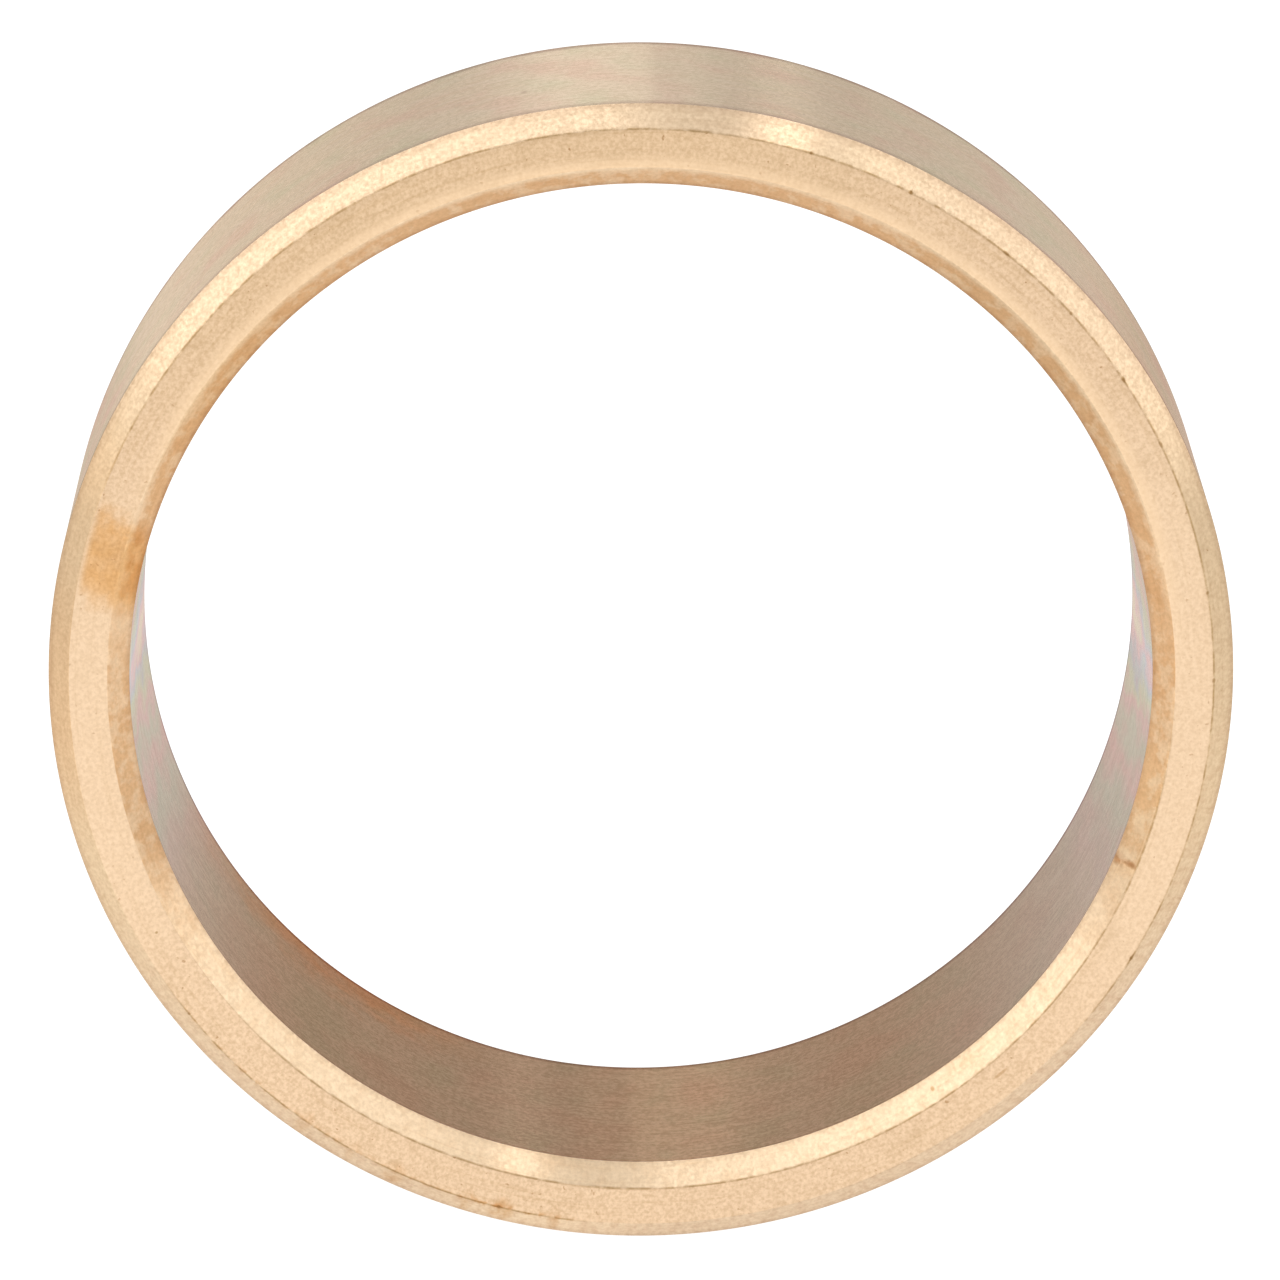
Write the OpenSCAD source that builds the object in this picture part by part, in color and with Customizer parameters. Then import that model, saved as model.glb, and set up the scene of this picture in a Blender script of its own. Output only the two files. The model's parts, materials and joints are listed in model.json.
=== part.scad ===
// Plain sleeve bushing: one pressed and sintered ring of bronze.
// The bore's axis lies along Y, and the origin is on it, halfway along the sleeve.
// One end face looks towards -Y and the other towards +Y, and the two are alike.
// The bore carries the shaft, and the outside is pressed into the housing.

/* [Sleeve] */
// Diameter of the bore that the shaft runs in, 2 3/8 in
bore_diameter = 60.325; // [40:0.005:100]
// Thickness of the wall between the bore and the outside, 3/16 in
wall = 4.7625; // [3:0.0125:10]
// Length from one end face to the other, 3/4 in
length = 19.05; // [10:0.05:60]

/* [Chamfers] */
// Width of the 45 degree chamfer round the outside at each end, which leads the sleeve into its housing
outside_chamfer = 1.25; // [0.2:0.05:1.4]
// Width of the 45 degree chamfer round each mouth of the bore, which leads the shaft in
bore_chamfer = 1.25; // [0.2:0.05:1.4]

/* [Hidden] */

bore_radius = bore_diameter / 2;
outside_radius = bore_radius + wall;
end_face = length / 2;
bore_end = end_face - bore_chamfer;
outside_end = end_face - outside_chamfer;
bronze = [0.90, 0.74, 0.53];
$fn = 180;

// The wall cut through along the axis: x is the distance from the axis, and y the place along it.
module wall_section() {
    polygon([
        [bore_radius, -bore_end],
        [bore_radius + bore_chamfer, -end_face],
        [outside_radius - outside_chamfer, -end_face],
        [outside_radius, -outside_end],
        [outside_radius, outside_end],
        [outside_radius - outside_chamfer, end_face],
        [bore_radius + bore_chamfer, end_face],
        [bore_radius, bore_end]
    ]);
}

// The whole bushing, turned so that its axis lies along Y.
module sleeve() {
    color(bronze)
        rotate([-90, 0, 0])
            rotate_extrude()
                wall_section();
}

sleeve();
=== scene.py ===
"""Looks of the plain bronze sleeve bushing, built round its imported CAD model.

The bushing is one pressed and sintered ring. This script turns the CAD sleeve's section into a fine
mesh with broken edges, tool lines and small dents, gives each kind of surface its own bronze, and
stands the ring on its rim on a white floor. Angles round the ring are in degrees, counted from +X
towards +Z, so 90 is the top of the ring and -90 is its foot. The front end face looks towards -Y.
"""

import json
import math

import bpy
import numpy as np
from mathutils import Euler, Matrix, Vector


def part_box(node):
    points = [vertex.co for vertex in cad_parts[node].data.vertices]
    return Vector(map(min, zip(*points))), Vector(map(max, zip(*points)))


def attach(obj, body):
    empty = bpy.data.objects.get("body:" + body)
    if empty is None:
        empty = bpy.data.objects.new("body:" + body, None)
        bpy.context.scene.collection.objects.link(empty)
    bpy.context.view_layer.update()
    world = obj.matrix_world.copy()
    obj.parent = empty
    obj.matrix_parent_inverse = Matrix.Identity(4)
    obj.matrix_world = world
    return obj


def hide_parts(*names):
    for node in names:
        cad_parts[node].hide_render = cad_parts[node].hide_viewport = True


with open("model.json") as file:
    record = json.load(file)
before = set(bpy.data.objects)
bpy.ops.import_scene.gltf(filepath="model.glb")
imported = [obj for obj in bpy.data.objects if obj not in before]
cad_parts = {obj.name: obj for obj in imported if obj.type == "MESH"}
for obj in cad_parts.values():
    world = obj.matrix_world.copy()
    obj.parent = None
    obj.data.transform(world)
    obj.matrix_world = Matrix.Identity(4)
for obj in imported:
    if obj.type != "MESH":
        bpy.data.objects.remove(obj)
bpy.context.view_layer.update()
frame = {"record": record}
mount_sizes = {mount["name"]: mount["dims"] for mount in frame["record"]["mounts"]}

MM = 0.001

# The sleeve's own sizes in millimetres, from the CAD frame.
END_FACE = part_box("sleeve")[1].y / MM
BORE_RADIUS = mount_sizes["bore"]["r_mm"]
OUTSIDE_RADIUS = mount_sizes["outside"]["r_mm"]
BORE_END = mount_sizes["bore"]["length_mm"] / 2
OUTSIDE_END = mount_sizes["outside"]["length_mm"] / 2
INNER_ROOT = BORE_RADIUS + END_FACE - BORE_END
OUTER_ROOT = OUTSIDE_RADIUS - END_FACE + OUTSIDE_END

# The fine mesh, in millimetres: the arc that breaks each edge, and how closely points are set.
EDGE_ROUND = 0.10
EDGE_STEPS = 4
EDGE_MARGIN = 0.03
ROWS = {"bore": 10, "inner_chamfer": 5, "face": 6, "outer_chamfer": 5, "outside": 10}
COLUMNS = 720
FINE_REACH = 1.2
FINE_STEP = 0.1

# The press tool leaves a fine line where each end face meets its chamfers.
TOOL_LINE_DEPTH = 0.028
TOOL_LINE_WIDTH = 0.05

# Small dents on the front end: (angle, radius, length round the ring, length across, depth), the
# last four in millimetres.
DENTS = [
    (-20.9, 30.75, 0.18, 0.50, 0.025),
    (-29.9, 33.68, 0.10, 0.08, 0.060),
    (62.7, 33.68, 0.10, 0.09, 0.060),
    (34.0, 33.68, 0.13, 0.08, 0.050),
    (-104.6, 33.68, 0.12, 0.10, 0.060),
    (-152.2, 32.50, 0.07, 0.07, 0.040),
]

# Dents this near to the outer tool line hold dirt, which spreads past them round the ring and across
# by these shares.
DIRT_REACH = 1.5
DIRT_SPREAD_ROUND = 1.6
DIRT_SPREAD_ACROSS = 1.8

# Each bronze's dark and light colour, before any marks.
FACE_COLOURS = (0.71, 0.505, 0.315), (0.87, 0.64, 0.43)
OUTER_CHAMFER_COLOURS = (0.74, 0.545, 0.355), (0.87, 0.66, 0.45)
INNER_CHAMFER_COLOURS = (0.87, 0.66, 0.435), (1.00, 0.775, 0.53)
BORE_COLOURS = (0.415, 0.275, 0.185), (0.53, 0.362, 0.256)
OUTSIDE_COLOURS = (0.645, 0.507, 0.352), (0.765, 0.61, 0.443)

# Roughness in the hollows of the grain or lines, and on their heights.
FACE_ROUGHNESS = (0.56, 0.44)
CHAMFER_ROUGHNESS = (0.40, 0.31)
BURNISHED_ROUGHNESS = (0.25, 0.21)

# How high the fine relief in the materials is, in millimetres.
FACE_GRAIN = 0.012
FACE_PITS = 0.010
FACE_RINGS = 0.010
CHAMFER_GRAIN = 0.002
CHAMFER_RINGS = 0.006
BURNISHED_LINES = 0.003

# Single marks. The stain is (from, to, fade), the spots are (angle, radius, half length round the
# ring, half length across), and the tick has y in place of the radius. Lengths are in millimetres.
STAIN = (162.0, 170.9, 1.8)
SCRATCH = (-48.2, 32.3, 0.75, 0.13)
NICK_WIDE = (-20.9, 30.45, 0.62, 0.42)
NICK_NARROW = (-20.8, 30.95, 0.30, 0.6)
FLECK = (-55.3, 30.75, 0.18, 0.16)
TICK = (101.4, -2.4, 0.25, 0.4)

# Brown smears that run across the tool line at the foot: (angle, millimetres to each side, strength).
SMEARS = [
    (-98.8, 0.5, 0.5),
    (-104.3, 1.0, 0.8),
    (-107.9, 0.5, 0.6),
    (-115.8, 0.9, 0.6),
    (-120.6, 0.4, 0.4),
    (-126.4, 0.6, 0.45),
]

# The tool line's dark dashes at the foot, from one angle to another.
DASHES = [(-98.7, -97.0), (-102.6, -100.5), (-108.4, -106.3), (-112.2, -109.3), (-117.0, -115.2)]

# Stretches of the chamfers with painted light and shade, lighter, darker or browner than the rest:
# (from, to, fade, and the colour that they are multiplied by).
INNER_PAINTED_LIGHT_AND_SHADE = [
    (22, 58, 10, (0.88, 0.87, 0.84)),
    (130, 152, 10, (0.93, 0.88, 0.79)),
    (-2, 16, 8, (0.95, 0.91, 0.86)),
    (-22, -9, 5, (1.11, 1.12, 1.10)),
]
OUTER_PAINTED_LIGHT_AND_SHADE = [
    (168, 192, 8, (0.98, 0.90, 0.83)),
    (155, 163, 6, (1.17, 1.12, 1.07)),
    (-108, -92, 8, (1.10, 1.11, 1.10)),
    (84, 94, 6, (1.09, 1.10, 1.10)),
    (64, 74, 6, (1.10, 1.11, 1.10)),
]

# Angles of the black specks in the front face's outer tool line.
SPECKS = [73.3, 62.7, 51.4, 42.5, 33.8, 26.2, 10.0, 0.8, -29.9, -143.0]

# The pastel sheen of the bore's oil film, painted into its colour at both sides, as (position, colour),
# and in radians how far its bands waver and how much they slant with each millimetre along the bore.
FILM_WANDER = 0.20
FILM_SLANT = 0.0042
FILM_SHEEN_COLOURS = [
    (0.11, (1.00, 0.96, 0.86)),
    (0.15, (1.00, 0.83, 0.87)),
    (0.20, (0.80, 0.90, 0.98)),
    (0.25, (0.90, 0.99, 0.86)),
    (0.31, (1.00, 0.84, 0.86)),
    (0.375, (0.85, 0.92, 0.85)),
    (0.45, (0.97, 0.82, 0.82)),
    (0.54, (0.82, 0.87, 0.81)),
    (0.66, (0.88, 0.80, 0.78)),
    (0.80, (0.84, 0.80, 0.74)),
]

# The camera: the height it aims at in millimetres, where it stands from there in degrees and metres,
# how far it rolls in degrees, and its lens and sensor in millimetres.
CAMERA_AIM = 0.112
CAMERA_AZIMUTH = -0.606
CAMERA_ELEVATION = 16.769
CAMERA_DISTANCE = 0.449
CAMERA_ROLL = 0.176
CAMERA_LENS = 210.4
CAMERA_SENSOR = 36.0

# The room's brightness, then the floor's glow, the share of light that it throws back, its roughness
# and half its width. A brighter pool lies on the floor: how much brighter, its middle in x and y, and
# how far from there it ends and is full. The studio's lengths are in metres.
ROOM_LIGHT = 0.78
FLOOR_GLOW = 0.80
FLOOR_BOUNCE = 0.15
FLOOR_ROUGHNESS = 0.9
FLOOR_HALF = 3.0
FLOOR_POOL = 0.26
POOL_MIDDLE = (-0.02, -0.11)
POOL_FADE = (0.22, 0.04)

# Each softbox: name, azimuth, elevation, distance, width, height, brightness, and how much of its
# height it fades over at its lower and its upper end.
SOFTBOXES = [
    ("left_softbox", -73.0, 45.0, 1.2, 1.2, 2.30, 1.42, 0.28, 0.10),
    ("right_softbox", 78.0, 32.0, 1.2, 1.1, 1.55, 1.08, 0.20, 0.05),
    ("right_strip", 90.0, 71.6, 1.2, 1.5, 0.17, 1.85, 0.1, 0.1),
    ("top_panel", 90.0, 87.0, 1.2, 1.5, 0.50, 0.30, 0.1, 0.1),
    ("back_panel_wide", 181.4, 24.0, 1.5, 0.338, 1.3, 0.20, 0.1, 0.1),
    ("back_panel_narrow", 183.4, 24.0, 1.5, 0.231, 1.3, 0.22, 0.1, 0.1),
]


# ---------------------------------------------------------------- the ring's mesh

SURFACES = [
    "bore", "inner_chamfer", "face", "outer_chamfer",
    "outside", "outer_chamfer", "face", "inner_chamfer",
]
SURFACE_KINDS = np.array(SURFACES)
CORNERS = [
    (BORE_RADIUS, BORE_END),
    (BORE_RADIUS, -BORE_END),
    (INNER_ROOT, -END_FACE),
    (OUTER_ROOT, -END_FACE),
    (OUTSIDE_RADIUS, -OUTSIDE_END),
    (OUTSIDE_RADIUS, OUTSIDE_END),
    (OUTER_ROOT, END_FACE),
    (INNER_ROOT, END_FACE),
]


def normal_angle(surface):
    """Direction of a surface's normal in the section, where each surface turns 45 degrees from the last."""
    return math.pi + surface * math.pi / 4


def section():
    """The wall's section, edges broken, as rows of (radius, y, normal r, normal y, surface)."""
    rows = []
    for k, surface in enumerate(SURFACES):
        rows += corner_arc(k)
        start = np.array(rows[-1][:2])
        end = np.array(corner_arc(k + 1)[0][:2])
        length = np.linalg.norm(end - start)
        inner = np.linspace(EDGE_MARGIN, length - EDGE_MARGIN, ROWS[surface] + 1) / length
        facing = (math.cos(normal_angle(k)), math.sin(normal_angle(k)))
        rows += [(*(start + (end - start) * t), *facing, k) for t in inner]
    return np.array(rows)


def corner_arc(k):
    """The arc that rounds corner k, where surface k begins."""
    first, last = normal_angle(k - 1), normal_angle(k)
    middle = (first + last) / 2
    reach = EDGE_ROUND / math.cos((last - first) / 2)
    radius, y = CORNERS[k % len(CORNERS)]
    centre = (radius - reach * math.cos(middle), y - reach * math.sin(middle))
    arc = []
    for angle in np.linspace(first, last, EDGE_STEPS + 1):
        facing = (math.cos(angle), math.sin(angle))
        owner = k - 1 if angle < middle else k
        arc.append((centre[0] + EDGE_ROUND * facing[0], centre[1] + EDGE_ROUND * facing[1],
                    *facing, owner % len(SURFACES)))
    return arc


def column_angles():
    """Angles of the mesh's columns in radians: even steps, and finer ones through the dents."""
    angles = set(np.round(np.arange(COLUMNS) * 360 / COLUMNS - 180, 4))
    for angle, *_ in DENTS:
        fine = angle + np.arange(-FINE_REACH, FINE_REACH + FINE_STEP / 2, FINE_STEP)
        angles |= set(np.round((fine + 180) % 360 - 180, 4))
    return np.radians(sorted(angles))


def waver(angles, seed, waves=(3, 7, 13, 29, 61, 113)):
    """A seamless, irregular number from 0 to 1 round the ring."""
    phases = np.random.default_rng(seed).uniform(0, 2 * math.pi, len(waves))
    total = sum(np.sin(n * angles + phase) for n, phase in zip(waves, phases))
    return np.clip(0.5 + total / len(waves), 0, 1)


def relief(rows, angles):
    """How far each point of the mesh is pushed into the metal, as rows by columns."""
    depth = np.zeros((len(rows), len(angles)))
    for seed, (radius, y) in enumerate(CORNERS):
        if abs(y) < END_FACE:
            continue
        away = np.hypot(rows[:, 0] - radius, rows[:, 1] - y)
        line = TOOL_LINE_DEPTH * np.exp(-(away / TOOL_LINE_WIDTH) ** 2)
        depth += line[:, None] * waver(angles, seed)[None, :]
    front = (rows[:, 1] < 0) & (SURFACE_KINDS[rows[:, 4].astype(int)] != "bore")
    for angle, radius, round_ring, across, deep in DENTS:
        along = np.radians((np.degrees(angles) - angle + 180) % 360 - 180) * radius
        over = rows[:, 0] - radius
        dent = np.exp(-(over / across) ** 2)[:, None] * np.exp(-(along / round_ring) ** 2)[None, :]
        depth += deep * dent * front[:, None]
    return depth


def ring_mesh():
    """The whole ring as one closed mesh, with a material slot for each kind of surface."""
    rows, angles = section(), column_angles()
    depth = relief(rows, angles)
    radius = rows[:, 0, None] - depth * rows[:, 2, None]
    y = rows[:, 1, None] - depth * rows[:, 3, None]
    points = np.stack([radius * np.cos(angles), y, radius * np.sin(angles)], axis=-1) * MM
    down, across = len(rows), len(angles)
    row, column = np.meshgrid(np.arange(down), np.arange(across), indexing="ij")
    below, beside = (row + 1) % down, (column + 1) % across
    corners = [row * across + column, below * across + column, below * across + beside,
               row * across + beside]
    faces = np.stack([c.ravel() for c in corners], axis=-1)
    mesh = bpy.data.meshes.new("sleeve_metal")
    mesh.from_pydata(points.reshape(-1, 3).tolist(), [], faces.tolist())
    kinds = list(dict.fromkeys(SURFACES))
    slots = np.array([kinds.index(SURFACES[int(s)]) for s in rows[below[:, 0], 4]])
    mesh.polygons.foreach_set("material_index", np.repeat(slots, across))
    mesh.polygons.foreach_set("use_smooth", np.ones(len(faces), bool))
    lay_out_bake_map(mesh, rows, angles)
    mesh.update()
    return mesh, kinds


def lay_out_bake_map(mesh, rows, angles):
    """A flat map for baked copies of the materials: the ring's skin unrolled, one half beside the other."""
    gap = 0.004
    step = np.hypot(*(np.roll(rows[:, :2], -1, axis=0) - rows[:, :2]).T)
    down = np.concatenate([[0], np.cumsum(step)]) / step.sum()
    turn = (np.append(angles, angles[0] + 2 * math.pi) + math.pi) / (2 * math.pi)
    uv = np.empty((len(rows), len(angles), 4, 2))
    for corner, (lower, later) in enumerate([(0, 0), (1, 0), (1, 1), (0, 1)]):
        part = (turn[:-1] >= 0.5).astype(float)
        round_ring = turn[later:len(turn) - 1 + later] * 2 - part
        along = down[lower:len(down) - 1 + lower]
        uv[:, :, corner, 0] = (gap + (1 - 2 * gap) * along[:, None] + part[None, :]) / 2
        uv[:, :, corner, 1] = gap + (1 - 2 * gap) * round_ring[None, :]
    layer = mesh.uv_layers.new(name="OFBake")
    layer.data.foreach_set("uv", uv.ravel())


# ---------------------------------------------------------------- the bronzes


class Nodes:
    """Short names for making a material's nodes. Lengths in a material are in millimetres."""

    def __init__(self, name):
        self.material = bpy.data.materials.new(name)
        self.material.use_nodes = True
        self.tree = self.material.node_tree
        self.shader = self.tree.nodes["Principled BSDF"]

    def add(self, kind, inputs=(), **settings):
        """A node of that kind. inputs are (input name or number, value or socket)."""
        node = self.tree.nodes.new(kind)
        for key, value in settings.items():
            setattr(node, key, value)
        for key, value in inputs:
            self.feed(node.inputs[key], value)
        return node

    def feed(self, socket, value):
        """Link a socket to this input, or set it to a plain value."""
        if isinstance(value, bpy.types.NodeSocket):
            self.tree.links.new(value, socket)
        else:
            socket.default_value = value

    def math(self, operation, *values):
        return self.add("ShaderNodeMath", enumerate(values), operation=operation).outputs[0]

    def all_of(self, *masks):
        """The masks multiplied together."""
        product = masks[0]
        for mask in masks[1:]:
            product = self.math("MULTIPLY", product, mask)
        return product

    def mix(self, factor, first, second):
        """A colour between first and second. Colours may be (r, g, b)."""
        first, second = (self.colour(c) for c in (first, second))
        inputs = ((0, factor), (6, first), (7, second))
        return self.add("ShaderNodeMix", inputs, data_type="RGBA").outputs[2]

    def tint(self, factor, colour, by):
        """colour multiplied by another one, as far as factor says."""
        colour, by = self.colour(colour), self.colour(by)
        inputs = ((0, factor), (6, colour), (7, by))
        return self.add("ShaderNodeMix", inputs, data_type="RGBA", blend_type="MULTIPLY").outputs[2]

    @staticmethod
    def colour(value):
        """A colour for an input that takes four numbers."""
        return value if isinstance(value, bpy.types.NodeSocket) else (*value, 1.0)

    def noise(self, vector, scale, detail=2.0, rough=0.5):
        inputs = (("Vector", vector), ("Scale", scale), ("Detail", detail), ("Roughness", rough))
        return self.add("ShaderNodeTexNoise", inputs).outputs["Fac"]

    def ramp(self, value, low, high, to_low=0.0, to_high=1.0):
        """value moved smoothly from low..high to to_low..to_high, and held there beyond."""
        if low > high:
            low, high, to_low, to_high = high, low, to_high, to_low
        inputs = enumerate((value, low, high, to_low, to_high))
        return self.add("ShaderNodeMapRange", inputs, interpolation_type="SMOOTHSTEP").outputs[0]

    def bump(self, height, distance, normal=None):
        """A normal from a height from 0 to 1, where 1 is distance millimetres high."""
        inputs = [("Height", height), ("Distance", distance * MM), ("Strength", 1.0)]
        if normal is not None:
            inputs.append(("Normal", normal))
        return self.add("ShaderNodeBump", inputs).outputs[0]


def lathe_places(nodes):
    """Where a point is: place, radius and y in millimetres, its angle, and if it is on the front half."""
    place = nodes.add("ShaderNodeTexCoord").outputs["Object"]
    scaled = nodes.add("ShaderNodeVectorMath", ((0, place), ("Scale", 1 / MM)), operation="SCALE").outputs[0]
    x, y, z = nodes.add("ShaderNodeSeparateXYZ", ((0, scaled),)).outputs
    square = nodes.math("ADD", nodes.math("MULTIPLY", x, x), nodes.math("MULTIPLY", z, z))
    radius = nodes.math("SQRT", square)
    return {
        "place": scaled,
        "y": y,
        "radius": radius,
        "angle": nodes.math("ARCTAN2", z, x),
        "cos": nodes.math("DIVIDE", x, radius),
        "sin": nodes.math("DIVIDE", z, radius),
        "front": nodes.math("LESS_THAN", y, 0.0),
    }


def turned(nodes, at, across, round_scale, across_scale, detail=2.0):
    """Noise drawn out round the ring, for lines that a tool leaves: slow round it and quick across."""
    vector = nodes.add("ShaderNodeCombineXYZ", (
        (0, nodes.math("MULTIPLY", at["cos"], round_scale)),
        (1, nodes.math("MULTIPLY", at["sin"], round_scale)),
        (2, nodes.math("MULTIPLY", across, across_scale)),
    )).outputs[0]
    return nodes.noise(vector, 1.0, detail)


def turn_from(nodes, at, degrees):
    """How far round a point is from an angle, in radians, either way."""
    apart = nodes.math("SUBTRACT", at["angle"], math.radians(degrees))
    return nodes.math("WRAP", apart, math.pi, -math.pi)


def arc(nodes, at, first, last, soft):
    """A mask that is 1 from one angle to another and fades out over soft degrees at both ends."""
    apart = nodes.math("ABSOLUTE", turn_from(nodes, at, (first + last) / 2))
    half = abs(last - first) / 2
    return nodes.ramp(apart, math.radians(half + soft), math.radians(max(half - soft, 0.0)))


def spot(nodes, at, angle, radius, along, across):
    """A round mask on the ring's front half. along and across are its half lengths in millimetres."""
    round_ring = nodes.math("MULTIPLY", turn_from(nodes, at, angle), OUTER_ROOT / along)
    over = nodes.math("DIVIDE", nodes.math("SUBTRACT", at["radius"], radius), across)
    square = nodes.math("ADD", nodes.math("POWER", round_ring, 2.0), nodes.math("POWER", over, 2.0))
    return nodes.math("MULTIPLY", nodes.ramp(square, 1.0, 0.0), at["front"])


def rim_line(nodes, value, middle, width):
    """A mask for a thin line where value is middle."""
    apart = nodes.math("ABSOLUTE", nodes.math("SUBTRACT", value, middle))
    return nodes.ramp(apart, width, 0.0)


def finish(nodes, colour, roughness, normal, spread):
    """Feed the metal's shader. spread draws its highlights out across the tool lines."""
    shader = nodes.shader.inputs
    nodes.feed(shader["Base Color"], colour)
    nodes.feed(shader["Roughness"], roughness)
    nodes.feed(shader["Normal"], normal)
    shader["Metallic"].default_value = 1.0
    shader["Anisotropic"].default_value = spread
    shader["Anisotropic Rotation"].default_value = 0.25
    tangent = nodes.add("ShaderNodeTangent", direction_type="RADIAL", axis="Y").outputs[0]
    nodes.feed(shader["Tangent"], tangent)
    return nodes.material


def pores(nodes, at, scale, share):
    """A mask of small scattered pits. A larger share gives more of them."""
    return nodes.ramp(nodes.noise(at["place"], scale, 1.0), 0.78 - share, 0.86 - share)


def root_dirt(nodes, at, radius, arcs, width=0.11):
    """A mask for the uneven dark line that gathers in the tool line at a chamfer's root."""
    uneven = nodes.ramp(turned(nodes, at, at["radius"], 45.0, 2.0, 3.0), 0.32, 0.62, 0.15, 1.0)
    held = arcs[0]
    for more in arcs[1:]:
        held = nodes.math("MAXIMUM", held, more)
    back = nodes.math("MULTIPLY", nodes.math("SUBTRACT", 1.0, at["front"]), 0.7)
    held = nodes.math("ADD", nodes.math("MULTIPLY", held, at["front"]), back)
    return nodes.all_of(rim_line(nodes, at["radius"], radius, width), uneven, held)


def sandy(nodes, at, dark, light, contrast):
    """Pressed bronze grain between two colours, and the grain itself from 0 to 1."""
    fine = nodes.noise(at["place"], 4.6, 3.0, 0.6)
    drawn = turned(nodes, at, at["radius"], 110.0, 4.0, 3.0)
    grain = nodes.math("ADD", nodes.math("MULTIPLY", fine, 0.7), nodes.math("MULTIPLY", drawn, 0.3))
    low, high = 0.5 - 0.5 / contrast, 0.5 + 0.5 / contrast
    return nodes.mix(nodes.ramp(grain, low, high), dark, light), grain


def face_bronze():
    """The end faces as pressed: sandy grain, a few pores, faint turned rings, stains and tool line dirt."""
    nodes = Nodes("face_bronze")
    at = lathe_places(nodes)
    colour, grain = sandy(nodes, at, *FACE_COLOURS, 2.7)
    rings = turned(nodes, at, at["radius"], 3.0, 5.0)
    colour = nodes.tint(nodes.ramp(rings, 0.5, 0.75), colour, (0.93, 0.91, 0.87))
    patches = nodes.noise(at["place"], 0.55, 3.0)
    colour = nodes.tint(nodes.ramp(patches, 0.5, 0.75), colour, (0.94, 0.93, 0.91))
    pits = pores(nodes, at, 3.0, 0.05)
    colour = nodes.tint(pits, colour, (0.70, 0.60, 0.50))
    # Painted shade: the end face is darker over its top.
    top = arc(nodes, at, 65, 145, 15)
    colour = nodes.tint(top, colour, (0.96, 0.95, 0.91))
    # Painted light: the end face is lighter and warmer at both sides.
    sides = nodes.math("MAXIMUM", arc(nodes, at, -35, 25, 15), arc(nodes, at, 165, 210, 15))
    colour = nodes.mix(nodes.math("MULTIPLY", sides, 0.35), colour, (0.93, 0.71, 0.49))
    # Painted light: over the upper half the end face is lighter and warmer next to the bore's chamfer.
    inward = nodes.ramp(at["radius"], INNER_ROOT + 1.0, INNER_ROOT + 0.2)
    colour = nodes.mix(nodes.all_of(inward, arc(nodes, at, 10, 155, 12), 0.6), colour, (0.92, 0.68, 0.44))
    scratch = spot(nodes, at, *SCRATCH)
    colour = nodes.tint(scratch, colour, (0.80, 0.72, 0.62))
    colour = stained(nodes, at, colour)
    colour = specked(nodes, at, nodes.tint(outer_dirt(nodes, at), colour, (0.62, 0.55, 0.42)))
    colour = nodes.tint(inner_dirt(nodes, at), colour, (0.62, 0.55, 0.42))
    roughness = nodes.ramp(grain, 0.3, 0.7, *FACE_ROUGHNESS)
    normal = nodes.bump(grain, FACE_GRAIN)
    normal = nodes.bump(nodes.math("SUBTRACT", 1.0, pits), FACE_PITS, normal)
    normal = nodes.bump(rings, FACE_RINGS, normal)
    return finish(nodes, colour, roughness, normal, 0.0)


def stained(nodes, at, colour):
    """colour with the brown oil stains on the front end."""
    ragged = nodes.noise(at["place"], 1.3, 3.0)
    slant = nodes.math("MULTIPLY", nodes.math("SUBTRACT", at["radius"], INNER_ROOT), 0.012)
    wander = nodes.math("MULTIPLY", nodes.math("SUBTRACT", ragged, 0.5), 0.06)
    moved = dict(at, angle=nodes.math("ADD", at["angle"], nodes.math("ADD", slant, wander)))
    band = nodes.math("MULTIPLY", arc(nodes, moved, *STAIN), at["front"])
    outer_end = nodes.ramp(at["radius"], OUTER_ROOT + 0.1, OUTER_ROOT - 0.5)
    spread = nodes.all_of(band, outer_end, nodes.ramp(ragged, 0.2, 0.7, 0.78, 1.0))
    colour = nodes.tint(spread, colour, (0.91, 0.72, 0.47))
    crumbs = nodes.ramp(nodes.noise(at["place"], 1.9, 2.0), 0.47, 0.62)
    thick = arc(nodes, at, -109, -98, 3)
    thin = nodes.math("MULTIPLY", arc(nodes, at, -145, -108, 3), 0.45)
    where = nodes.math("MAXIMUM", thick, thin)
    near = nodes.all_of(rim_line(nodes, at["radius"], OUTER_ROOT, 0.36), where)
    colour = nodes.tint(nodes.all_of(near, crumbs, at["front"]), colour, (0.84, 0.68, 0.49))
    for angle, reach, strength in SMEARS:
        streaks = nodes.ramp(turned(nodes, at, at["radius"], 70.0, 1.2), 0.35, 0.65, 0.3, 1.0)
        smear = nodes.all_of(spot(nodes, at, angle, OUTER_ROOT + 0.3, reach, 1.2), streaks, strength)
        colour = nodes.tint(smear, colour, (0.80, 0.63, 0.43))
    return colour


def outer_dirt(nodes, at):
    """Dirt in the tool line between the front face and the outside chamfer."""
    arcs = [arc(nodes, at, -38, 10, 5), arc(nodes, at, -145, -97, 4), arc(nodes, at, 10, 157, 5)]
    dirt = root_dirt(nodes, at, OUTER_ROOT, arcs)
    for first, last in DASHES:
        dash = nodes.all_of(arc(nodes, at, first, last, 0.4), rim_line(nodes, at["radius"], OUTER_ROOT, 0.12))
        dirt = nodes.math("MAXIMUM", dirt, nodes.math("MULTIPLY", dash, at["front"]))
    for angle, radius, along, across, _ in DENTS:
        if radius > OUTER_ROOT - DIRT_REACH:
            size = (along * DIRT_SPREAD_ROUND, across * DIRT_SPREAD_ACROSS)
            dirt = nodes.math("MAXIMUM", dirt, spot(nodes, at, angle, radius, *size))
    return dirt


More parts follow.
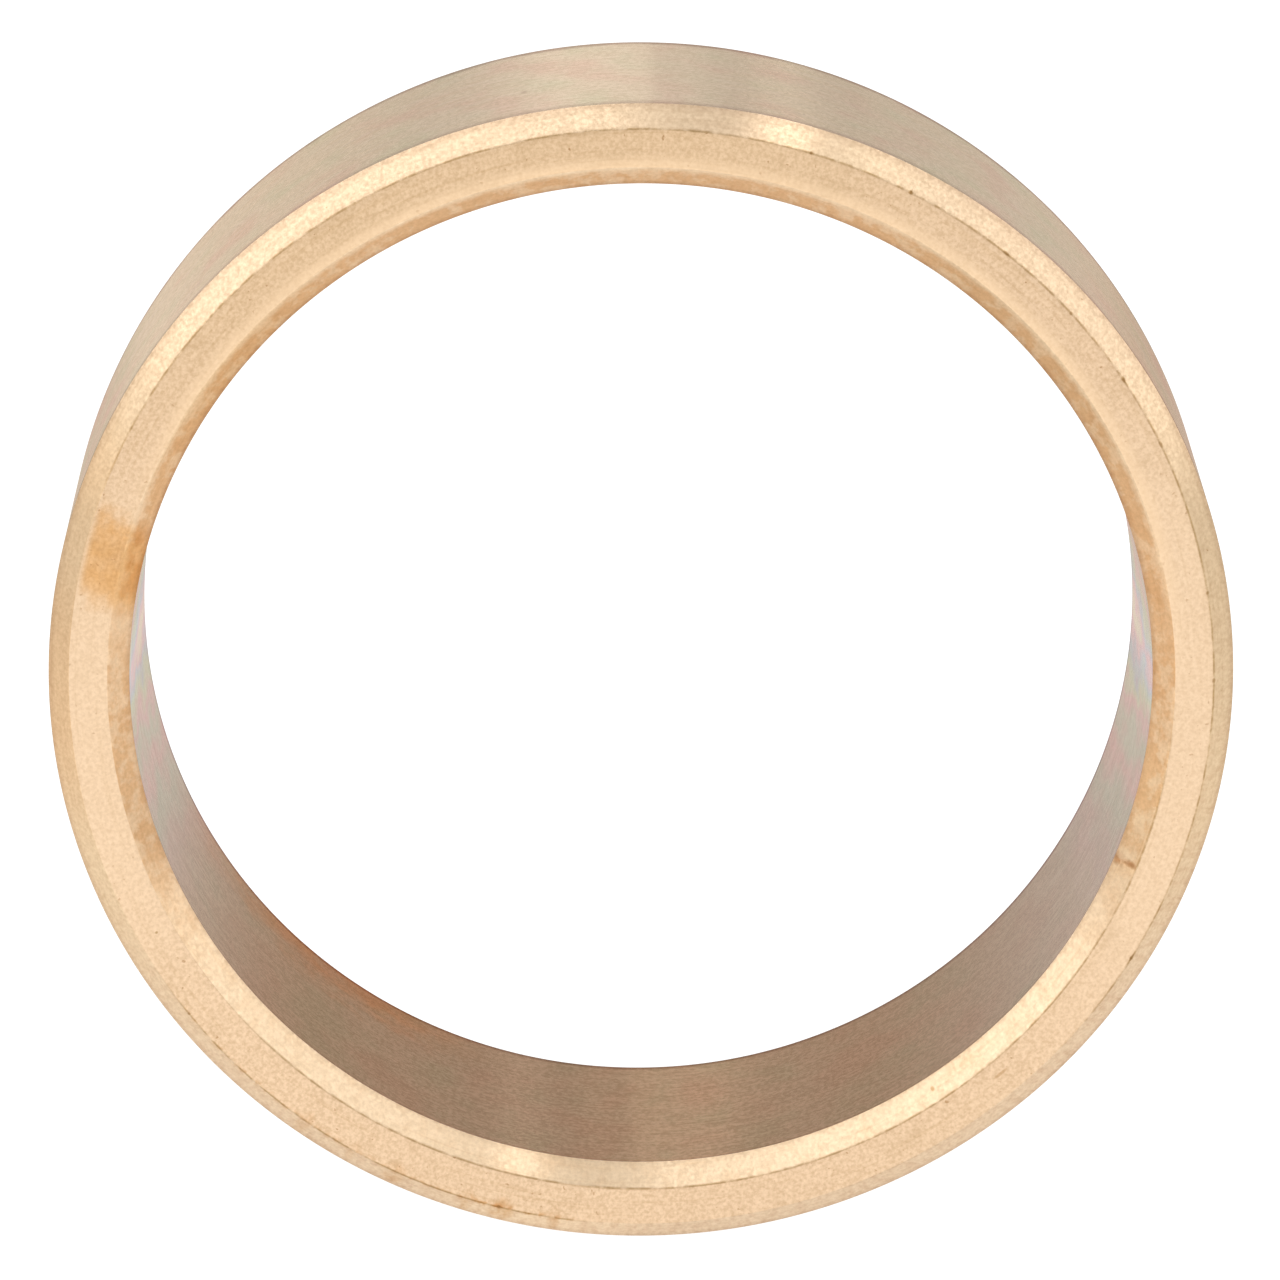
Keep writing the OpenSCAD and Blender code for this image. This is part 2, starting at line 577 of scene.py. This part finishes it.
def specked(nodes, at, colour):
    """colour with the black specks in the front face's outer tool line."""
    for number, angle in enumerate(SPECKS):
        length = 0.14 + 0.07 * (number % 3)
        colour = nodes.tint(spot(nodes, at, angle, OUTER_ROOT, length, 0.13), colour, (0.68, 0.60, 0.48))
    return colour


def inner_dirt(nodes, at):
    """Dirt in the tool line between the front face and the bore's chamfer."""
    return root_dirt(nodes, at, INNER_ROOT, [arc(nodes, at, -137, -6, 8)])


def outer_chamfer_bronze():
    """The outside chamfers: smoother than the faces, with cross marks and brown smears at the foot."""
    nodes = Nodes("outer_chamfer_bronze")
    at = lathe_places(nodes)
    colour, grain = sandy(nodes, at, *OUTER_CHAMFER_COLOURS, 2.5)
    rings = turned(nodes, at, at["radius"], 4.0, 6.0)
    colour = nodes.tint(nodes.ramp(rings, 0.5, 0.75), colour, (0.94, 0.92, 0.90))
    cross = turned(nodes, at, at["radius"], 80.0, 1.6, 3.0)
    foot = arc(nodes, at, -150, -5, 30)
    # Painted shade: both sides of the outside chamfers are made warmer and less white.
    for first, last in ((148, 212), (-24, 26)):
        colour = nodes.tint(arc(nodes, at, first, last, 14), colour, (1.0, 0.985, 0.92))
    # Painted light and shade: stretches of the outside chamfers made lighter, darker or browner.
    for first, last, soft, by in OUTER_PAINTED_LIGHT_AND_SHADE:
        colour = nodes.tint(arc(nodes, at, first, last, soft), colour, by)
    marks = nodes.math("MULTIPLY", nodes.ramp(cross, 0.40, 0.72), nodes.ramp(foot, 0.0, 1.0, 0.25, 1.0))
    colour = nodes.tint(marks, colour, (0.90, 0.85, 0.82))
    pits = pores(nodes, at, 2.6, 0.0)
    colour = nodes.tint(pits, colour, (0.72, 0.62, 0.52))
    colour = stained(nodes, at, colour)
    colour = specked(nodes, at, nodes.tint(outer_dirt(nodes, at), colour, (0.62, 0.54, 0.40)))
    outward = nodes.ramp(at["radius"], OUTSIDE_RADIUS - 0.45, OUTSIDE_RADIUS)
    colour = nodes.tint(outward, colour, (0.86, 0.83, 0.82))
    roughness = nodes.ramp(grain, 0.3, 0.7, *CHAMFER_ROUGHNESS)
    normal = nodes.bump(grain, CHAMFER_GRAIN)
    normal = nodes.bump(rings, CHAMFER_RINGS, normal)
    return finish(nodes, colour, roughness, normal, 1.0)


def inner_chamfer_bronze():
    """The bore's chamfers: smooth, a deeper orange towards the bore, painted darker as shade over the upper
    half and at the sides, with a nick and a small fleck.
    """
    nodes = Nodes("inner_chamfer_bronze")
    at = lathe_places(nodes)
    colour, grain = sandy(nodes, at, *INNER_CHAMFER_COLOURS, 2.5)
    rings = turned(nodes, at, at["radius"], 4.0, 6.0)
    colour = nodes.tint(nodes.ramp(rings, 0.5, 0.75), colour, (0.95, 0.92, 0.88))
    cloudy = turned(nodes, at, at["radius"], 35.0, 1.0, 3.0)
    colour = nodes.tint(nodes.ramp(cloudy, 0.45, 0.7), colour, (0.95, 0.92, 0.89))
    mottle = nodes.noise(at["place"], 0.9, 4.0, 0.6)
    width = INNER_ROOT - BORE_RADIUS
    ragged = nodes.math("ADD", at["radius"], nodes.math("MULTIPLY", nodes.math("SUBTRACT", cloudy, 0.5), 0.5))
    # Painted shade: the deeper orange near the bore covers only the upper half, and the sides.
    low = nodes.ramp(ragged, INNER_ROOT + 0.02, INNER_ROOT - 0.40 * width)
    sides = nodes.math("MAXIMUM", arc(nodes, at, -22, 10, 14), arc(nodes, at, 174, 205, 14))
    deep = nodes.math("MAXIMUM", nodes.math("MULTIPLY", low, arc(nodes, at, 4, 172, 10)), sides)
    deep = nodes.math("MULTIPLY", deep, nodes.ramp(mottle, 0.38, 0.60, 0.50, 1.20))
    colour = nodes.tint(deep, colour, (0.845, 0.695, 0.55))
    # Painted light and shade: stretches of the bore's chamfers made lighter or darker.
    for first, last, soft, by in INNER_PAINTED_LIGHT_AND_SHADE:
        colour = nodes.tint(arc(nodes, at, first, last, soft), colour, by)
    colour = stained(nodes, at, colour)
    wide = spot(nodes, at, *NICK_WIDE)
    narrow = spot(nodes, at, *NICK_NARROW)
    nick = nodes.math("MAXIMUM", wide, narrow)
    ragged_nick = nodes.math("MULTIPLY", nick, nodes.ramp(mottle, 0.35, 0.6, 0.35, 1.0))
    colour = nodes.tint(ragged_nick, colour, (0.60, 0.45, 0.34))
    fleck = spot(nodes, at, *FLECK)
    colour = nodes.tint(fleck, colour, (0.75, 0.62, 0.48))
    colour = nodes.tint(inner_dirt(nodes, at), colour, (0.62, 0.54, 0.42))
    crumbly = nodes.math("MULTIPLY", nodes.noise(at["place"], 2.2, 3.0), 0.3)
    rim = nodes.ramp(nodes.math("ADD", at["radius"], crumbly), BORE_RADIUS + 0.50, BORE_RADIUS + 0.10)
    rim = nodes.math("MULTIPLY", rim, nodes.ramp(arc(nodes, at, 5, 175, 20), 0.0, 1.0, 0.4, 1.0))
    colour = nodes.tint(rim, colour, (0.74, 0.69, 0.68))
    roughness = nodes.ramp(grain, 0.3, 0.7, *CHAMFER_ROUGHNESS)
    normal = nodes.bump(grain, CHAMFER_GRAIN)
    normal = nodes.bump(rings, CHAMFER_RINGS, normal)
    return finish(nodes, colour, roughness, normal, 1.0)


def tinged(nodes, at, colour, pink, green, strength):
    """colour with faint pink and green clouds, as burnished bronze has."""
    clouds = turned(nodes, at, at["y"], 7.0, 0.17, 3.0)
    colour = nodes.tint(nodes.ramp(clouds, 0.5, 0.68, 0.0, strength), colour, pink)
    return nodes.tint(nodes.ramp(clouds, 0.5, 0.32, 0.0, strength), colour, green)


def burnish(nodes, at):
    """Fine turned lines, and those lines with short cross marks and grain, from 0 to 1."""
    lines = turned(nodes, at, at["y"], 10.0, 3.5, 3.0)
    cross = turned(nodes, at, at["y"], 90.0, 0.8, 2.0)
    grain = nodes.noise(at["place"], 3.6, 3.0)
    crossed = nodes.math("ADD", nodes.math("MULTIPLY", lines, 0.30), nodes.math("MULTIPLY", cross, 0.12))
    return lines, nodes.math("ADD", crossed, nodes.math("MULTIPLY", grain, 0.58))


def bore_bronze():
    """The burnished bore, in a darker bronze than the outside, with the oil film's pastel sheen painted into
    it at both sides.
    """
    nodes = Nodes("bore_bronze")
    at = lathe_places(nodes)
    lines, marks = burnish(nodes, at)
    colour = nodes.mix(nodes.ramp(marks, 0.38, 0.62), *BORE_COLOURS)
    colour = tinged(nodes, at, colour, (1.0, 0.94, 0.94), (0.93, 0.99, 0.97), 1.0)
    ragged = nodes.math("MULTIPLY", nodes.noise(at["place"], 0.5, 3.0), 8.0)
    back = nodes.math("ADD", at["y"], ragged)
    heat = nodes.math("MULTIPLY", nodes.ramp(back, 6.5, 13.0), arc(nodes, at, -152, -114, 10))
    colour = nodes.tint(heat, colour, (1.15, 0.80, 0.60))
    colour = nodes.tint(arc(nodes, at, -97, -78, 10), colour, (0.88, 0.88, 0.86))
    # Painted sheen: the oil film's pastel colours, in the base colour and the edge tint, only at both sides
    # of the bore.
    film = nodes.math("MAXIMUM", arc(nodes, at, -46, 20, 20), arc(nodes, at, 160, 212, 18))
    bands = film_sheen_bands(nodes, at)
    flank = nodes.ramp(nodes.math("ABSOLUTE", at["sin"]), 0.10, 0.0, 0.20, 0.36)
    colour = nodes.mix(nodes.math("MULTIPLY", film, flank), colour, bands.outputs[0])
    edge = nodes.mix(film, (0.74, 0.62, 0.50), bands.outputs[0])
    mouths = nodes.ramp(at["y"], BORE_END - 0.6, BORE_END - 0.15)
    mouths = nodes.math("MAXIMUM", mouths, nodes.ramp(at["y"], 0.3 - BORE_END, -BORE_END, 0.0, 0.5))
    colour = nodes.tint(mouths, colour, (0.72, 0.66, 0.67))
    edge = nodes.tint(mouths, edge, (0.72, 0.67, 0.72))
    nodes.feed(nodes.shader.inputs["Specular Tint"], edge)
    normal = nodes.bump(lines, BURNISHED_LINES)
    roughness = nodes.ramp(lines, 0.3, 0.7, *BURNISHED_ROUGHNESS)
    return finish(nodes, colour, roughness, normal, 1.0)


def film_sheen_bands(nodes, at):
    """The oil film's painted sheen, in wavering bands of colour that run along the bore at both sides."""
    wander = turned(nodes, at, at["y"], 16.0, 0.22, 4.0)
    side = nodes.math("ABSOLUTE", nodes.math("ARCSINE", at["sin"]))
    slanted = nodes.math("SUBTRACT", side, nodes.math("MULTIPLY", at["y"], FILM_SLANT))
    thickness = nodes.math("ADD", slanted, nodes.math("MULTIPLY", wander, FILM_WANDER))
    scaled = nodes.math("DIVIDE", thickness, math.radians(45))
    bands = nodes.add("ShaderNodeValToRGB", ((0, scaled),))
    set_stops(bands, FILM_SHEEN_COLOURS)
    return bands


def set_stops(ramp_node, stops):
    """Give a colour ramp node its stops."""
    elements = ramp_node.color_ramp.elements
    while len(elements) < len(stops):
        elements.new(0.5)
    for element, (position, colour) in zip(elements, stops):
        element.position = position
        element.color = (*colour, 1.0)


def outside_bronze():
    """The burnished outside, greyer than the faces, with a dull line along each edge."""
    nodes = Nodes("outside_bronze")
    at = lathe_places(nodes)
    lines, marks = burnish(nodes, at)
    colour = nodes.mix(nodes.ramp(marks, 0.39, 0.61), *OUTSIDE_COLOURS)
    colour = tinged(nodes, at, colour, (1.0, 0.91, 0.93), (0.92, 0.99, 0.95), 1.0)
    # Painted shade and light: the outside is darker and browner from 18 to 42 degrees, and lighter from 120
    # to 165.
    colour = nodes.tint(arc(nodes, at, 18, 42, 10), colour, (0.92, 0.84, 0.76))
    colour = nodes.tint(arc(nodes, at, 120, 165, 12), colour, (1.15, 1.13, 1.10))
    patchy = nodes.ramp(turned(nodes, at, at["y"], 12.0, 0.3, 3.0), 0.3, 0.7, 0.0, 0.3)
    dull = nodes.ramp(nodes.math("ADD", at["y"], patchy), OUTSIDE_END - 0.75, OUTSIDE_END)
    front_edge = nodes.ramp(at["y"], 1.1 - OUTSIDE_END, -OUTSIDE_END, 0.0, 0.6)
    tick = nodes.math("MULTIPLY", spot(nodes, dict(at, radius=at["y"]), *TICK), 0.55)
    dull = nodes.math("MAXIMUM", dull, nodes.math("MAXIMUM", front_edge, tick))
    colour = nodes.tint(dull, colour, (0.74, 0.69, 0.70))
    # Painted shade: reflections are darker at two stretches of the sides, from 12 to 34 and 150 to 168
    # degrees.
    sides = nodes.math("MAXIMUM", arc(nodes, at, 12, 34, 8), arc(nodes, at, 150, 168, 8))
    edge = nodes.mix(sides, (0.87, 0.82, 0.77), (0.60, 0.54, 0.53))
    edge = nodes.tint(dull, edge, (0.74, 0.69, 0.72))
    nodes.feed(nodes.shader.inputs["Specular Tint"], edge)
    normal = nodes.bump(lines, BURNISHED_LINES)
    roughness = nodes.ramp(lines, 0.3, 0.7, *BURNISHED_ROUGHNESS)
    return finish(nodes, colour, roughness, normal, 1.0)


BRONZES = {
    "bore": bore_bronze,
    "inner_chamfer": inner_chamfer_bronze,
    "face": face_bronze,
    "outer_chamfer": outer_chamfer_bronze,
    "outside": outside_bronze,
}


# ---------------------------------------------------------------- the studio


def direction(azimuth, elevation):
    """A unit vector from the ring: azimuth 0 is towards the camera's side, -Y, and 90 towards +X."""
    a, e = math.radians(azimuth), math.radians(elevation)
    return Vector((math.sin(a) * math.cos(e), -math.cos(a) * math.cos(e), math.sin(e)))


def add_camera():
    """The camera, aimed at the middle of the ring."""
    away = direction(CAMERA_AZIMUTH, CAMERA_ELEVATION)
    data = bpy.data.cameras.new("camera")
    data.lens = CAMERA_LENS
    data.sensor_width = CAMERA_SENSOR
    data.clip_start = 0.01
    camera = bpy.data.objects.new("camera", data)
    camera.location = away * CAMERA_DISTANCE + Vector((0, 0, CAMERA_AIM * MM))
    aim = (-away).to_track_quat("-Z", "Y").to_euler()
    roll = Euler((0, 0, math.radians(CAMERA_ROLL)))
    camera.rotation_euler = (aim.to_matrix() @ roll.to_matrix()).to_euler()
    bpy.context.scene.collection.objects.link(camera)
    bpy.context.scene.camera = camera


def add_floor():
    """A wide white floor that the ring stands on, with a pool of light in front of the ring.

    It glows and looks plain white to the camera, so the ring leaves no shadow on it.
    """
    half, z = FLOOR_HALF, -OUTSIDE_RADIUS * MM
    mesh = bpy.data.meshes.new("floor")
    corners = [(-half, -half, z), (half, -half, z), (half, half, z), (-half, half, z)]
    mesh.from_pydata(corners, [], [(0, 1, 2, 3)])
    floor = bpy.data.objects.new("floor", mesh)
    nodes = Nodes("white_floor")
    place = nodes.add("ShaderNodeTexCoord").outputs["Object"]
    away = nodes.add("ShaderNodeVectorMath", ((0, place), (1, (*POOL_MIDDLE, z))), operation="DISTANCE")
    pool = nodes.ramp(away.outputs["Value"], *POOL_FADE, FLOOR_GLOW, FLOOR_GLOW + FLOOR_POOL)
    seen = nodes.add("ShaderNodeLightPath").outputs["Is Camera Ray"]
    nodes.feed(nodes.shader.inputs["Base Color"], (FLOOR_BOUNCE, FLOOR_BOUNCE, FLOOR_BOUNCE, 1))
    nodes.feed(nodes.shader.inputs["Roughness"], FLOOR_ROUGHNESS)
    nodes.feed(nodes.shader.inputs["Specular IOR Level"], 0.0)
    nodes.feed(nodes.shader.inputs["Emission Color"], (1, 1, 1, 1))
    nodes.feed(nodes.shader.inputs["Emission Strength"], nodes.math("MAXIMUM", pool, seen))
    mesh.materials.append(nodes.material)
    bpy.context.scene.collection.objects.link(floor)


def add_softbox(name, azimuth, elevation, distance, width, height, radiance, low_fade, high_fade):
    """A soft panel light that faces the ring and that the camera doesn't see. Its ends fade out."""
    data = bpy.data.lights.new(name, "AREA")
    data.shape = "RECTANGLE"
    data.size = width
    data.size_y = height
    data.energy = radiance * math.pi * width * height
    fade_ends(data, low_fade, high_fade)
    light = bpy.data.objects.new(name, data)
    towards = direction(azimuth, elevation)
    light.location = towards * distance
    light.rotation_euler = towards.to_track_quat("Z", "Y").to_euler()
    light.visible_camera = False
    bpy.context.scene.collection.objects.link(light)


def fade_ends(data, low_fade, high_fade):
    """Fade a panel light's lower and upper ends over these shares of its height."""
    data.use_nodes = True
    tree = data.node_tree
    panel = tree.nodes.new("ShaderNodeSeparateXYZ")
    tree.links.new(tree.nodes.new("ShaderNodeNewGeometry").outputs["Parametric"], panel.inputs[0])
    strength = tree.nodes.new("ShaderNodeMath")
    strength.operation = "MULTIPLY"
    for socket, (dark, bright) in zip(strength.inputs, ((0.0, low_fade), (1.0, 1.0 - high_fade))):
        fade = tree.nodes.new("ShaderNodeMapRange")
        fade.inputs[1].default_value = min(dark, bright)
        fade.inputs[2].default_value = max(dark, bright)
        fade.inputs[3].default_value = 0.0 if dark < bright else 1.0
        fade.inputs[4].default_value = 1.0 if dark < bright else 0.0
        tree.links.new(panel.outputs["Y"], fade.inputs[0])
        tree.links.new(fade.outputs[0], socket)
    tree.links.new(strength.outputs[0], tree.nodes["Emission"].inputs["Strength"])


def add_world():
    """An even pale room, plain white where the camera sees it."""
    world = bpy.data.worlds.new("studio")
    world.use_nodes = True
    tree = world.node_tree
    background = tree.nodes["Background"]
    seen = tree.nodes.new("ShaderNodeLightPath").outputs["Is Camera Ray"]
    strength = tree.nodes.new("ShaderNodeMapRange")
    tree.links.new(seen, strength.inputs[0])
    strength.inputs[3].default_value = ROOM_LIGHT
    tree.links.new(strength.outputs[0], background.inputs["Strength"])
    background.inputs["Color"].default_value = (1, 1, 1, 1)
    bpy.context.scene.world = world


def add_studio():
    """Camera, floor and lights."""
    add_camera()
    add_floor()
    add_world()
    for name, *placing in SOFTBOXES:
        add_softbox(name, *placing)
    bpy.context.scene.view_settings.view_transform = "Standard"


# ---------------------------------------------------------------- the piece


def add_sleeve():
    """The ring itself, in the CAD sleeve's place."""
    mesh, kinds = ring_mesh()
    for kind in kinds:
        mesh.materials.append(BRONZES[kind]())
    sleeve = bpy.data.objects.new("bronze_sleeve", mesh)
    bpy.context.scene.collection.objects.link(sleeve)
    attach(sleeve, "root")
    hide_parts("sleeve")


add_studio()
add_sleeve()
